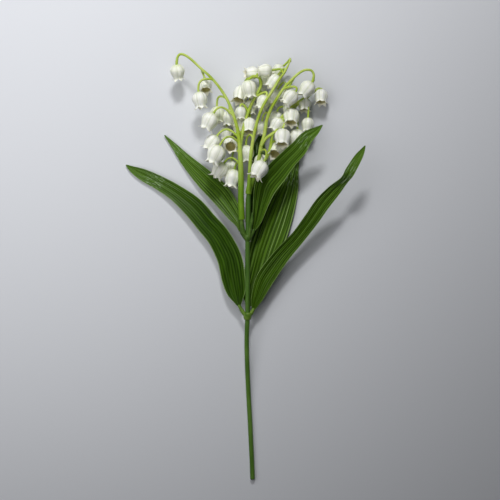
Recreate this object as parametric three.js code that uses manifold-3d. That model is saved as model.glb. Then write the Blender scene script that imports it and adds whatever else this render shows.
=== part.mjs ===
// An artificial lily of the valley stem: a green coated stem with two moulded collars, six strap
// leaves on the collars' arms, and three sprays of white bells on the upper collar's pegs and on the
// stem's end. It lies on its back on a flat surface. Millimetres: +Y runs up the stem to the
// flowers, +Z is up from the surface, and the origin is on the surface, under the straight lower stem.
import * as THREE from "three";
import { mergeVertices } from "three/addons/utils/BufferGeometryUtils.js";
import Module from "manifold-3d";

const wasm = await Module();
wasm.setup();

// Driving dimensions
const GAP = 0.3; // clearance between pieces that touch

const STEM_SIDES = 10;
const STEM_RADIUS = 2.25; // to the corners of its section
const STEM_REST = STEM_RADIUS * Math.cos(Math.PI / STEM_SIDES); // its axis over the surface
const CUT_BEVEL = 0.8; // edge of the stem's cut end
const ROD_RADIUS = 2.1; // the stem above the upper collar

const RING_SIDES = 12;
const RING_PROFILE = [[-0.5, 0.82], [-0.1, 1], [0.3, 1], [0.5, 0.88]]; // shares of length, radius
const BORE_REACH = 20; // how far the cut for the stem goes on both ways from a ring's middle
const ARM_RADIUS = 1.5;
const ARM_SIDES = 6;

const BLADE_THICKNESS = 0.8;
const BLADE_CHANNEL = 0.2; // rise of a blade's edges, as a share of its half width
const BLADE_STRIPS = 6; // across its width
const BLADE_TIP = 0.4; // half width of its blunt tip
const RIB_HEIGHT = 0.3;
const RIBBED_FROM = 6; // half width from which the ribs have their full height

const TWIG_SIDES = 6; // a spray's moulded stems
const SOCKET_GAP = 0.36; // round the peg in a spray's socket, whose peg bends
const SOCKET_DEEPER = 0.15; // how far the socket goes on past its peg, in steps of the peg's rows

const PEDICEL_RADIUS = 1.1;
const PEDICEL_SIDES = 4;
const PEDICEL_ARCH = 5; // how far over a bell's crown its pedicel arches
const PEDICEL_SINK = 1.2; // how far it goes into the crown
const PLACES_PER_ROW = 4; // on a spray's stem, where pedicels may leave

const BELL_LENGTH = 15.8;
const BELL_RADIUS = 7.1;
const BELL_WALL = 0.8;
const BELL_CROWN = 1.9; // its wall at the crown
const BELL_LOBES = 6;
const BELL_NECK = 0.72; // narrowest width, as a share of the widest
const BELL_TURN = 0.7; // radians that each bell is turned on from the last

const COLOURS = {
  stem: { color: 0x476d27, roughness: 0.5 },
  collar: { color: 0x5f8430, roughness: 0.45 },
  leaf: { color: 0x346319, roughness: 0.35 },
  spray: { color: 0xdfe6c8, roughness: 0.45 },
};

// The stem's axis: x, y, height, radius. It is straight and level where it lies on the surface.
const STEM_ROWS = [
  [0.9, -23.8, STEM_REST, STEM_RADIUS],
  [0.5, -12, STEM_REST, STEM_RADIUS],
  [-0.6, 12, STEM_REST, STEM_RADIUS],
  [-1.6, 32, STEM_REST, STEM_RADIUS],
  [-2.6, 50, 3, STEM_RADIUS],
  [-3.6, 72, 5.2, STEM_RADIUS],
  [-4.3, 96, 8.4, STEM_RADIUS],
  [-4.2, 110, 10.2, STEM_RADIUS],
  [-3.6, 124.5, 11.8, STEM_RADIUS],
  [-3.5, 148, 13.5, STEM_RADIUS],
  [-3.6, 173, 15.1, STEM_RADIUS],
  [-3.5, 194.5, 16.5, STEM_RADIUS],
  [-3, 212, 18, ROD_RADIUS],
  [-2.8, 223, 19.1, ROD_RADIUS],
  [-2.6, 233.2, 20, 2],
  [-2.5, 238, 20.6, 1.2],
];

// The rings: their row on the stem's axis, largest radius and length.
const LOWER_RING = { row: 8, radius: 3.7, length: 6.6 };
const UPPER_RING = { row: 11, radius: 3.3, length: 5 };

// Arms and pegs on the collars, from the ring outwards: x, y, height, radius.
const LOWER_ARMS = {
  left: [[-4.6, 124, 11.8, 2], [-8, 128.4, 11.6, 1.8], [-11, 133.4, 11.3, ARM_RADIUS]],
  right: [[-2.7, 124, 11.8, 2], [-0.2, 127.2, 12.1, 1.8], [1.6, 130.4, 12.4, ARM_RADIUS]],
  back: [[-3.5, 124, 10.8, 2], [-3, 128.4, 9, 1.8], [-2.5, 132.6, 7.7, ARM_RADIUS]],
};
const UPPER_ARMS = {
  left: [[-4.4, 193.6, 16, 2], [-6.8, 196.2, 15.2, 1.7], [-9, 199.6, 14.2, ARM_RADIUS]],
  right: [[-2.6, 193.6, 16.5, 2], [-0.2, 197, 16.8, 1.7], [1.8, 201.4, 17, ARM_RADIUS]],
  back: [[-3.2, 193.6, 15, 2], [-2.9, 197.6, 11.9, 1.7], [-2.4, 202, 10, ARM_RADIUS]],
};
const PEGS = {
  left: [[-4.6, 194.5, 17, 2.1], [-7.4, 200.5, 18, 2.1], [-8.7, 207.4, 18.8, 2], [-8.8, 214.6, 19.4, 1.6]],
  right: [[-2.4, 195, 15.2, 1.9], [-2.6, 201, 13.6, 1.9], [-3, 206.4, 12.6, 1.8], [-3.1, 213, 12.3, 1.5]],
  spare: [[-2.2, 195.5, 18.4, 1.4], [-1, 204, 20.3, 1.5], [0.3, 211, 21.2, 1.4], [0.6, 217, 21.8, 0.35]],
};

// Each leaf's midrib from its arm to its tip: x, y, height, half width, and roll in degrees, which
// lifts the edge on the right as the leaf grows away.
const LEAVES = {
  leaf_lower_left: [
    [-11.3, 133.8, 11.2, 1.7, 0],
    [-13.6, 145, 9, 8.2, 2],
    [-16.2, 159, 8.3, 10.8, 4],
    [-19.8, 177, 8.4, 11.2, 6],
    [-29, 195, 8.2, 10.5, 6],
    [-40, 208, 7.4, 10, 6],
    [-53, 223, 6, 9.5, 6],
    [-69, 236, 4.4, 7.5, 8],
    [-84, 245, 3.2, 6.5, 10],
    [-98, 252, 2.4, 5.5, 10],
    [-108, 257, 1.8, 3, 6],
    [-114, 261, 1.5, 0.5, 0],
  ],
  leaf_lower_right: [
    [1.9, 130.8, 12.4, 1.7, 10],
    [5, 141, 12.9, 5.3, 0],
    [12, 158, 13.8, 8, -3],
    [26, 178, 15.5, 7.4, -5],
    [41, 195, 18, 6.4, -5],
    [53, 211, 21, 6.7, -5],
    [62.5, 225, 24.5, 6.8, -8],
    [72, 236.2, 28, 6.2, -20],
    [81.6, 246.5, 31, 5, -42],
    [87.6, 254.8, 33.6, 4.4, 5],
    [93.8, 264.5, 36.2, 4, 30],
    [99, 274.8, 38, 0.5, 0],
  ],
  leaf_lower_back: [
    [-2.4, 133.1, 7.5, 2, 0],
    [-0.6, 144, 5.9, 8, 0],
    [5.5, 163, 4.2, 12.3, 0],
    [11.5, 183, 2.8, 14.5, 0],
    [18.8, 204, 1.8, 15.2, 0],
    [26, 224, 1.2, 13.5, 0],
    [32, 241, 0.9, 10.5, 0],
    [36, 256, 0.9, 7, 0],
    [40, 267, 1.4, 3.5, 0],
    [42, 276, 2, 0.5, 0],
  ],
  leaf_upper_left: [
    [-9.5, 200.4, 13.9, 1.8, 0],
    [-10.8, 207.6, 12.2, 4.4, 4],
    [-15.5, 216.5, 9.4, 7.2, 6],
    [-28.4, 234.6, 5.2, 9.6, 6],
    [-43, 249, 3.6, 8.5, 6],
    [-59, 265, 2.2, 5.5, 4],
    [-71, 279, 1.8, 2.5, 0],
    [-79, 288, 2, 0.5, 0],
  ],
  leaf_upper_right: [
    [2, 201.9, 17, 1.7, 0],
    [5, 211, 17.4, 4.4, -8],
    [8.5, 227, 19, 7.5, -12],
    [13, 242, 21.2, 10.5, -12],
    [22, 253, 23.4, 10, -12],
    [31, 263, 26, 8.5, -10],
    [41, 273, 29, 7.5, -8],
    [48, 282, 32, 6, -5],
    [56, 288, 34, 3.5, 0],
    [62, 293, 35.5, 0.5, 0],
  ],
  leaf_upper_back: [
    [-2.3, 202.6, 9.7, 1.7, 0],
    [0.6, 212, 6.6, 4.8, 0],
    [4, 229, 4.8, 8, 0],
    [5, 247, 2.4, 9, 0],
    [7, 264, 0.9, 8, 0],
    [7, 278, 0.8, 5.5, 0],
    [8, 290, 1.2, 0.5, 0],
  ],
};

// Each spray's moulded stems, from the foot up: x, y, height, radius. The first carries the socket.
// Its bells: crown x, y, height, lean to the right and nod upwards in degrees, and size; then, where
// its pedicel doesn't leave from the nearest place, the row of the stem that it leaves from.
const SPRAYS = {
  spray_left: {
    peg: "left",
    stems: [
      [
        [-8.7, 211, 19.1, 3.1],
        [-8.9, 216, 19.6, 2.9],
        [-9.4, 229, 20.4, 2.9],
        [-9.4, 246, 21.2, 2.8],
        [-9.9, 263.5, 22, 2.4],
        [-11.2, 283, 23, 1.9],
        [-14.5, 298.5, 24, 1.6],
        [-20.5, 314.5, 25, 1.4],
        [-28, 327, 25, 1.3],
        [-36.5, 337, 25, 1.25],
        [-45.5, 345, 25, 1.2],
        [-53.5, 352.5, 25, 1.2],
        [-59.5, 356.6, 24, 1.2],
        [-63.4, 357.2, 23.5, 1.2],
        [-65.8, 354.6, 22.5, 1.25],
        [-66.6, 348.8, 21.5, 1.3],
      ],
      [
        [-10.4, 273, 22.4, 1.7],
        [-8.8, 284, 20.6, 1.6],
        [-6.4, 296, 17.5, 1.55],
        [-3.2, 306.5, 16, 1.5],
        [0.6, 315.5, 16, 1.5],
        [5, 323.5, 17, 1.45],
        [8.4, 331, 18.5, 1.4],
        [6.8, 336.8, 19.8, 1.4],
        [1.6, 338.2, 20.6, 1.4],
        [-3.6, 334.8, 20.8, 1.3],
      ],
    ],
    bells: [
      [-66.6, 348.8, 21.5, 6, -26, 0.9],
      [-42, 337, 9.2, 6, 32, 0.88, 9.5],
      [-47, 324, 24.5, 9, -4, 0.97, 8.75],
      [-33.5, 304.7, 27, -27, -4, 1.04, 6.25],
      [-31, 312.5, 13.5, 3, 0, 0.95, 7.25],
      [-19.8, 309.8, 11, -4, 0, 0.95],
      [-30.7, 285.5, 20, -36, -4, 1, 5],
      [-27.8, 275.8, 31, -24, -2, 1.14, 4.75],
      [-24.5, 261.3, 19, -32, 0, 1, 3.75],
      [-18, 264.5, 6.4, -5, 0, 0.85],
      [-15.3, 256, 15.2, -12, 0, 1.06],
      [-18.6, 282.2, 7, 0, 62, 1],
      [6.5, 343, 13, -84, 14, 0.85],
      [-3.6, 334.8, 20.8, 9, -4, 1.02],
      [-7.4, 331, 5, -18, 26, 1.08, 7.5],
      [8, 331.5, 6.6, 2, 0, 0.78],
      [-10, 312, 16.6, 2, 0, 0.75, 3],
      [-10, 302.5, 7, -5, 0, 0.96],
      [-1.8, 302, 11.5, -3, 22, 1],
      [13.2, 321, 21, -27, 0, 0.87, 4.5],
    ],
  },
  spray_centre: {
    peg: "centre",
    stems: [
      [
        [-2.6, 233.9, 20.1, 3],
        [-2.5, 237.5, 20.6, 2.8],
        [-2.3, 241.5, 21.2, 2],
        [-2, 247, 22, 1.9],
        [-1.4, 258, 24, 1.75],
        [-0.2, 271.5, 26, 1.7],
        [2, 284.5, 28, 1.6],
        [5, 297, 29, 1.5],
        [8.5, 307, 30, 1.45],
        [13.5, 316.5, 30, 1.4],
        [19, 325, 30, 1.35],
        [24, 333.5, 29, 1.3],
        [29, 340.5, 28, 1.2],
        [32, 346.5, 27, 1],
        [34.5, 352, 26, 0.6],
      ],
    ],
    bells: [
      [28.5, 348.8, 12.5, -50, 0, 0.8, 13.75],
      [18.3, 342.8, 26.4, -86, 0, 0.82, 11.75],
      [23.5, 339, 22, -36, 0, 0.9],
      [-5, 278, 12.6, 3, 0, 1, 5.75],
    ],
  },
  spray_right: {
    peg: "right",
    stems: [
      [
        [-3, 209, 12.4, 2.9],
        [-3.1, 214, 12.3, 2.5],
        [-2.8, 231.5, 12.8, 2.3],
        [1.2, 246.5, 14.4, 2.1],
        [6, 262.5, 16.2, 1.9],
        [8.5, 276.5, 18, 1.8],
        [11.5, 287, 20, 1.7],
        [13.5, 299.5, 21, 1.6],
        [18, 310.5, 22, 1.5],
        [23, 319, 23, 1.4],
        [28, 326.5, 24, 1.35],
        [34, 333, 24, 1.3],
        [40, 338.8, 24, 1.25],
        [45, 342.3, 24, 1.2],
        [49, 343.4, 24, 1.15],
        [53.2, 342.8, 23, 1.15],
        [55.3, 338.8, 22, 1.2],
        [54, 333, 21, 1.25],
      ],
      [
        [8.5, 276.5, 18.5, 1.6],
        [12.8, 283, 19.5, 1.5],
        [18.2, 287, 20, 1.5],
        [22.2, 291, 19.6, 1.5],
        [26.2, 297.8, 18, 1.45],
        [30.5, 303.5, 15.6, 1.4],
        [37, 310, 13, 1.3],
        [43, 316, 11.3, 1.25],
        [49.5, 321, 10, 1.2],
        [55.5, 325.8, 9, 1.2],
        [60, 329.3, 8.5, 1.15],
        [63, 328.3, 7.8, 1.15],
      ],
      [
        [5, 253.5, 15, 1.7],
        [10.6, 261.5, 14.4, 1.6],
        [14.6, 269, 14.6, 1.5],
        [17, 277, 15.6, 1.5],
        [18, 283, 17.6, 1.5],
        [18.6, 287, 19.8, 1.3],
      ],
    ],
    bells: [
      [54, 333, 21, -38, -5, 1],
      [39, 323.6, 27, -42, -3, 0.95, 10],
      [26, 301.5, 17, -33, 0, 0.85, 8],
      [23, 309, 6.8, -8, 0, 0.9],
      [23.5, 328.5, 9.5, -25, 0, 0.95],
      [9.6, 300, 7, -3, 0, 0.8],
      [11, 261.3, 34, -30, 8, 1.08],
      [8.5, 270, 11, 0, 0, 0.9],
      [63, 328.3, 7.8, -3, 20, 0.92],
      [47.6, 321, 7.5, 0, 16, 0.85],
      [36, 309.3, 17, -5, 27, 1.04],
      [50.6, 302.5, 14, -3, 0, 0.82],
      [41, 292, 15, -4, 0, 1.05],
      [28, 291, 20, -4, 22, 1.08],
      [26, 278, 6, -30, 45, 1.05],
      [34, 330.5, 14, -20, 0, 0.85],
    ],
  },
};

const vector = (row) => new THREE.Vector3(row[0], row[1], row[2]);

const spaced = (count, make) => Array.from({ length: count }, (_, i) => make(i / (count - 1), i));

// The values at a share t of the way along a list of rows, as a smooth spline through the rows.
function between(rows, t) {
  const last = rows.length - 1;
  const i = Math.min(Math.floor(t * last), last - 1);
  const f = t * last - i;
  const f2 = f * f;
  const f3 = f2 * f;
  return rows[i].map((start, k) => {
    const end = rows[i + 1][k];
    const before = i > 0 ? rows[i - 1][k] : start * 2 - end;
    const after = i < last - 1 ? rows[i + 2][k] : end * 2 - start;
    const leaving = (end - before) / 2;
    const arriving = (after - start) / 2;
    const places = (2 * f3 - 3 * f2 + 1) * start + (3 * f2 - 2 * f3) * end;
    return places + (f3 - 2 * f2 + f) * leaving + (f3 - f2) * arriving;
  });
}

// The direction of travel at each point of a path.
function headings(points) {
  return points.map((_, i) => {
    const ahead = points[Math.min(i + 1, points.length - 1)];
    return ahead.clone().sub(points[Math.max(i - 1, 0)]).normalize();
  });
}

// A closed surface through rings of the same number of points, which turn clockwise as seen along
// the path. The ends are closed by fans to a pole, or by a strip across where the rings are flat
// loops, whose second half lies back to back with the first.
function loft(rings, { flat = false, poles = [] } = {}) {
  const n = rings[0].length;
  const corners = rings.flat();
  const faces = [];
  for (let i = 0; i + 1 < rings.length; i++) {
    for (let j = 0; j < n; j++) {
      const [a, b] = [i * n + j, i * n + ((j + 1) % n)];
      const [c, d] = [a + n, b + n];
      if (flat && j >= n / 2) faces.push(a, b, c, b, d, c);
      else faces.push(a, b, d, a, d, c);
    }
  }
  const end = corners.length - n;
  if (flat) {
    for (let j = 0; j + 1 < n / 2; j++) {
      const [a, b, c, d] = [j, j + 1, n - 2 - j, n - 1 - j];
      faces.push(a, c, b, a, d, c);
      faces.push(end + a, end + b, end + c, end + a, end + c, end + d);
    }
  } else {
    const middle = (ring) => ring.reduce((s, p) => s.add(p), new THREE.Vector3()).divideScalar(n);
    const [first, last] = [rings[0], rings[rings.length - 1]].map((ring, i) => poles[i] ?? middle(ring));
    for (let j = 0; j < n; j++) {
      faces.push(corners.length, (j + 1) % n, j);
      faces.push(corners.length + 1, end + j, end + ((j + 1) % n));
    }
    corners.push(first, last);
  }
  return new THREE.BufferGeometry().setFromPoints(corners).setIndex(faces);
}

function solid(geometry) {
  const merged = mergeVertices(geometry, 1e-5);
  return new wasm.Manifold(
    new wasm.Mesh({
      numProp: 3,
      vertProperties: merged.attributes.position.array,
      triVerts: new Uint32Array(merged.index.array),
    }),
  );
}

function geometryOf(made) {
  const mesh = made.getMesh();
  return new THREE.BufferGeometry()
    .setAttribute("position", new THREE.BufferAttribute(mesh.vertProperties, 3))
    .setIndex(new THREE.BufferAttribute(mesh.triVerts, 1));
}

const joined = (solids) => solids.reduce((all, one) => all.add(one));

// A round bar along a path, with its own radius at each point and a flat of its section down.
function bar(points, radii, sides) {
  const ways = headings(points);
  const rings = points.map((point, i) => {
    const side = new THREE.Vector3().crossVectors(ways[i], new THREE.Vector3(0, 0, 1)).normalize();
    const up = new THREE.Vector3().crossVectors(side, ways[i]);
    return spaced(sides + 1, (t) => {
      const turn = 2 * Math.PI * (t + 0.5 / sides) - Math.PI / 2;
      return point
        .clone()
        .addScaledVector(side, radii[i] * Math.cos(turn))
        .addScaledVector(up, -radii[i] * Math.sin(turn));
    }).slice(0, sides);
  });
  return loft(rings);
}

function barThrough(rows, count, sides, thicker = 0) {
  const spots = spaced(count, (t) => between(rows, t));
  return bar(spots.map(vector), spots.map((spot) => spot[3] + thicker), sides);
}

function stem() {
  const [x, y, height] = STEM_ROWS[0];
  const rows = [[x, y - CUT_BEVEL, height, STEM_RADIUS - CUT_BEVEL], ...STEM_ROWS];
  return bar(rows.map(vector), rows.map((row) => row[3]), STEM_SIDES);
}

// A ring on the stem, waisted at both ends, with arms and pegs growing from it.
function collar({ row, radius, length }, branches) {
  const centre = vector(STEM_ROWS[row]);
  const way = vector(STEM_ROWS[row + 1]).sub(vector(STEM_ROWS[row - 1])).normalize();
  const along = (distance) => centre.clone().addScaledVector(way, distance);
  const places = RING_PROFILE.map(([share]) => along(share * length));
  const ring = bar(places, RING_PROFILE.map(([, share]) => share * radius), RING_SIDES);
  const arms = branches.map((rows) => solid(barThrough(rows, rows.length + 2, ARM_SIDES)));
  const wide = STEM_RADIUS + GAP;
  const bore = solid(bar([along(-BORE_REACH), along(BORE_REACH)], [wide, wide], STEM_SIDES));
  return geometryOf(joined([solid(ring), ...arms]).subtract(bore));
}

// A strap blade: a shallow channel with a grooved midrib and a ridge on each side of it.
function blade(rows) {
  const spots = spaced(Math.round(rows.length * 1.6), (t) => between(rows, t));
  const middles = spots.map(vector);
  const ways = headings(middles);
  const rings = spots.map((spot, i) => {
    const level = new THREE.Vector3(ways[i].y, -ways[i].x, 0).normalize();
    const across = level.applyAxisAngle(ways[i], -THREE.MathUtils.degToRad(spot[4]));
    const normal = new THREE.Vector3().crossVectors(across, ways[i]);
    const half = Math.max(spot[3], BLADE_TIP);
    const ribs = RIB_HEIGHT * Math.min(1, half / RIBBED_FROM);
    const line = spaced(BLADE_STRIPS + 1, (t) => {
      const v = 2 * t - 1;
      const rise = BLADE_CHANNEL * half * Math.abs(v) ** 1.4 - ribs * Math.cos(3 * Math.PI * v);
      return middles[i].clone().addScaledVector(across, half * v).addScaledVector(normal, rise);
    });
    const shifted = (by) => line.map((point) => point.clone().addScaledVector(normal, by));
    return [...shifted(BLADE_THICKNESS / 2), ...shifted(-BLADE_THICKNESS / 2).reverse()];
  });
  return loft(rings, { flat: true });
}

// The direction in which a bell hangs, from its crown to its mouth.
function bellAxis(lean, nod) {
  const [a, b] = [THREE.MathUtils.degToRad(lean), THREE.MathUtils.degToRad(nod)];
  return new THREE.Vector3(Math.sin(a) * Math.cos(b), -Math.cos(a) * Math.cos(b), Math.sin(b));
}

// One open bell: a rounded cup that narrows at the neck and flares in six curled lobes, and inside
// it the hollow. Every other point of the rim is a lobe's tip.
function bell([x, y, z, lean, nod, size], spin) {
  const axis = bellAxis(lean, nod);
  const side = new THREE.Vector3().crossVectors(axis, new THREE.Vector3(0, 0, 1)).normalize();
  const up = new THREE.Vector3().crossVectors(side, axis);
  const neck = BELL_RADIUS * BELL_NECK;
  const around = 2 * BELL_LOBES;
  const at = (depth) => new THREE.Vector3(x, y, z).addScaledVector(axis, size * depth);
  const ring = (depth, radius, tipDepth = depth, tipRadius = radius) =>
    spaced(around + 1, (t, i) => {
      const turn = 2 * Math.PI * t + spin;
      const out = size * (i % 2 === 0 ? tipRadius : radius);
      return at(i % 2 === 0 ? tipDepth : depth)
        .addScaledVector(side, out * Math.cos(turn))
        .addScaledVector(up, -out * Math.sin(turn));
    }).slice(0, around);
  const outside = [ring(0.3, BELL_RADIUS * 0.45), ring(4.6, BELL_RADIUS), ring(13, neck)];
  const rim = ring(14, neck - 0.1, BELL_LENGTH, BELL_RADIUS - 0.1);
  const inside = [ring(12.6, neck - BELL_WALL), ring(4.9, BELL_RADIUS - BELL_WALL)];
  return loft([...outside, rim, ...inside], { poles: [at(0), at(BELL_CROWN)] });
}

// A pedicel leaves the stem at its own row or at the place nearest to its bell, arches over and comes
// down into the crown. A bell at the stem's own end has none.
function pedicel(spine, row) {
  const crown = vector(row);
  const axis = bellAxis(row[3], row[4]);
  const arch = crown.clone().addScaledVector(axis, -PEDICEL_ARCH);
  const away = spine.map((point) => point.distanceTo(arch));
  const at = row[6] ? Math.round(row[6] * PLACES_PER_ROW) : away.indexOf(Math.min(...away));
  const root = spine[at];
  const apart = crown.clone().sub(root);
  if (apart.length() < PEDICEL_RADIUS) return [];
  const reach = 1.5 + 0.5 * apart.length();
  const leave = headings(spine)[at].addScaledVector(apart.normalize(), 0.8).normalize();
  const curve = new THREE.CubicBezierCurve3(
    root,
    root.clone().addScaledVector(leave, reach),
    crown.clone().addScaledVector(axis, -reach),
    crown.clone().addScaledVector(axis, PEDICEL_SINK),
  );
  const points = curve.getPoints(4);
  return [solid(bar(points, points.map(() => PEDICEL_RADIUS), PEDICEL_SIDES))];
}

// A spray: its moulded stems, and on them the bells, each on the stem that passes nearest to it.
// Pockets that are shut in where bells press together are filled.
function spray({ peg, stems, bells }) {
  const spines = stems.map((rows) => {
    const places = (rows.length - 1) * PLACES_PER_ROW + 1;
    return spaced(places, (t) => vector(between(rows, t)));
  });
  const bars = stems.map((rows) => solid(barThrough(rows, Math.round(rows.length * 1.2), TWIG_SIDES)));
  const hung = bells.flatMap((row, i) => {
    const near = spines.map((spine) => Math.min(...spine.map((p) => p.distanceTo(vector(row)))));
    const spine = spines[near.indexOf(Math.min(...near))];
    return [solid(bell(row, i * BELL_TURN)), ...pedicel(spine, row)];
  });
  const made = joined([...bars, ...hung]).subtract(socket(peg));
  return geometryOf(joined(made.decompose().filter((body) => body.volume() > 0)));
}

// The cut for the peg that a spray sits on. The centre spray sits on the stem's own end.
function socket(peg) {
  const pin = peg === "centre" ? STEM_ROWS.slice(-3) : PEGS[peg];
  const [neck, tip] = pin.slice(-2);
  const deeper = tip.map((value, k) => (k < 3 ? value + (value - neck[k]) * SOCKET_DEEPER : value));
  return solid(barThrough([...pin.slice(0, -1), deeper], 7, STEM_SIDES, SOCKET_GAP));
}

function piece(name, geometry, finish) {
  const flat = geometry.toNonIndexed();
  flat.computeVertexNormals();
  const mesh = new THREE.Mesh(flat, new THREE.MeshStandardMaterial({ metalness: 0, ...COLOURS[finish] }));
  mesh.name = name;
  return mesh;
}

const group = new THREE.Group();
group.add(piece("stem", stem(), "stem"));
group.add(piece("collar_lower", collar(LOWER_RING, Object.values(LOWER_ARMS)), "collar"));
const upperBranches = [...Object.values(UPPER_ARMS), ...Object.values(PEGS)];
group.add(piece("collar_upper", collar(UPPER_RING, upperBranches), "collar"));
for (const [name, rows] of Object.entries(LEAVES)) group.add(piece(name, blade(rows), "leaf"));
for (const [name, parts] of Object.entries(SPRAYS)) group.add(piece(name, spray(parts), "spray"));

export default group;
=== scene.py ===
"""An artificial lily of the valley stem, lying on a pale surface.

The tables are in millimetres, in the part's own frame: +Y runs up the stem to the flowers, +Z is up
from the surface. Meshes are made in metres.
"""

import bpy
import numpy as np
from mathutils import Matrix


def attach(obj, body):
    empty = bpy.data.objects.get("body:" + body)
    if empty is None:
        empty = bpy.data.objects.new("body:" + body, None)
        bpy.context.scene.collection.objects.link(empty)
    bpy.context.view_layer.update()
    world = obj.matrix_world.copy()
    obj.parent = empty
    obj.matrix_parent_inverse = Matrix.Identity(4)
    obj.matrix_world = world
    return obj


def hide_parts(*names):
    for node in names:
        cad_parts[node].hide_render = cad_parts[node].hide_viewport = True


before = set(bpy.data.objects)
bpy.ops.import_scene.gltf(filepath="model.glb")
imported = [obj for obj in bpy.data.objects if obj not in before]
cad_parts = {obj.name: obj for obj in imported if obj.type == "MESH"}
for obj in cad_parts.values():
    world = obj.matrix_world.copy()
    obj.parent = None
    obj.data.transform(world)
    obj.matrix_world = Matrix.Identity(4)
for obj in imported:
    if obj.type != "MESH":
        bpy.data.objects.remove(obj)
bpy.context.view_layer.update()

MM = 0.001

CAMERA_AT = (-1.4, 183.8, 900)  # straight over the middle of the stem
VIEW_WIDTH = 455  # of the surface, across the picture
SENSOR = 36  # width of the camera's sensor
FLOOR_REACH = 2000  # from the origin to the floor's edges

CAP_TURNS = np.radians([25, 50, 70, 85])  # where a rounded end has its circles, on a quarter turn

STEM_RADIUS = 2.14
ROD_RADIUS = 2.05  # of the stem's upper end, which holds the centre spray
CUT_BEVEL = 0.5  # edge of the stem's cut end
STEM_SWELLING = (0.008, 3.1)  # share of the radius, and millimetres for each radian of its sine
STEM_SLOW_SWELLING = (0.006, 7.7)  # the same of a longer one
ARM_RADIUS = 1.5  # at an arm's end
COLLAR_VOXEL = 0.2  # grain of the skin that fuses a collar's shells
BORE_GAP = 0.25  # between the stem and the bore of a collar

BLADE_THICKNESS = 0.8
BLADE_CHANNEL = 0.2  # rise of a blade's edges, as a share of its half width
FOLD_HEIGHT = 0.26
RIB_HEIGHT = 0.14
RIBS = 9  # half turns of the ribs' cosine, from the midrib to an edge
WAVE_HEIGHT = 0.4  # of the wave along a blade's edges
LEAST_HALF = 0.3  # half width that a blade keeps at its tip
RIBBED_FROM = 6  # half width from which folds, ribs and waves have their full height
LEAF_SEED_STEP = 5.3  # sets each leaf's streaks apart from those of the last

SPRAY_STEM_SHARE = 0.93  # of the radius in a spray's rows, which allow for a stem with flat sides

PEDICEL_RADIUS = 0.95
PEDICEL_ARCH = 5  # how far over a bell's crown its pedicel arches
PEDICEL_SINK = 1.2  # how far it goes into the crown
PLACES_PER_ROW = 4  # on a spray's stem, where pedicels may leave

# Down a bell's outside: depth under the crown, radius.
BELL_PROFILE = [[0, 0.1], [0.3, 2.2], [1.6, 4.6], [4.2, 6.6], [7, 7.1], [10, 6.4], [12.4, 5.3], [13.5, 5]]
BELL_WALL = 0.7
LOBE_THINNING = (0.9, 0.45)  # shares of the wall at a lobe's root and at its tip
BELL_LOBES = 6
LOBE_LENGTH = 2.9  # beyond the lip
LOBE_SPREAD = (0.8, 1.15)  # shares of that length from which each lobe takes its own
LIP = 0.4  # what the rim has between two lobes
FLARE_START = 0.17  # radians out from the bell's axis at the neck
FLARE = 0.38  # radians for each millimetre of a lobe
CREASE = 0.08  # depth of the seams between lobes, as a share of the radius
SQUASH = 0.025  # two waves round a bell, as a share of its radius
THREE_SIDED = 0.015  # three waves round it
SPIRAL = 0.012  # one wave round it, which winds down the bell
BELL_TURN = 0.7  # radians that each bell is turned on from the last

# How finely the surfaces are worked out: places along each, and sides round it.
STEM_PLACES = 260
STEM_SIDES = 32
RING_SIDES = 48
ARM_PLACES = 24
ARM_SIDES = 24
BORE_PLACES = 30
BORE_SIDES = 40
BLADE_PLACES = 150
BLADE_LINES = 78  # across each of its faces
SPRAY_STEM_PLACES = 12  # for each row
SPRAY_STEM_SIDES = 20
PEDICEL_PLACES = 26
PEDICEL_SIDES = 14
BELL_PLACES = 22  # from the crown to the neck
LOBE_PLACES = 6  # from the neck to the rim
BELL_SIDES = 72

# The stem's axis: x, y, height, radius.
STEM_ROWS = [
    [0.9, -23.8, STEM_RADIUS, STEM_RADIUS],
    [0.5, -12, STEM_RADIUS, STEM_RADIUS],
    [-0.6, 12, STEM_RADIUS, STEM_RADIUS],
    [-1.6, 32, STEM_RADIUS, STEM_RADIUS],
    [-2.6, 50, 3, STEM_RADIUS],
    [-3.6, 72, 5.2, STEM_RADIUS],
    [-4.3, 96, 8.4, STEM_RADIUS],
    [-4.2, 110, 10.2, STEM_RADIUS],
    [-3.6, 124.5, 11.8, STEM_RADIUS],
    [-3.5, 148, 13.5, STEM_RADIUS],
    [-3.6, 173, 15.1, STEM_RADIUS],
    [-3.5, 194.5, 16.5, STEM_RADIUS],
    [-3, 212, 18, ROD_RADIUS],
    [-2.8, 223, 19.1, ROD_RADIUS],
    [-2.6, 233.2, 20, 2],
    [-2.5, 238, 20.6, 1.2],
]

# The rings: their row on the stem's axis, largest radius and length.
LOWER_RING = {"row": 8, "radius": 3.7, "length": 6.6}
UPPER_RING = {"row": 11, "radius": 3.3, "length": 5}

# Along a ring: shares of its length, from its middle, and of its radius.
RING_PROFILE = [
    [-0.5, 0.76],
    [-0.48, 0.8],
    [-0.4, 0.88],
    [-0.25, 0.96],
    [-0.1, 1],
    [0.1, 1],
    [0.3, 1],
    [0.42, 0.95],
    [0.48, 0.86],
    [0.5, 0.8],
]

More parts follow.
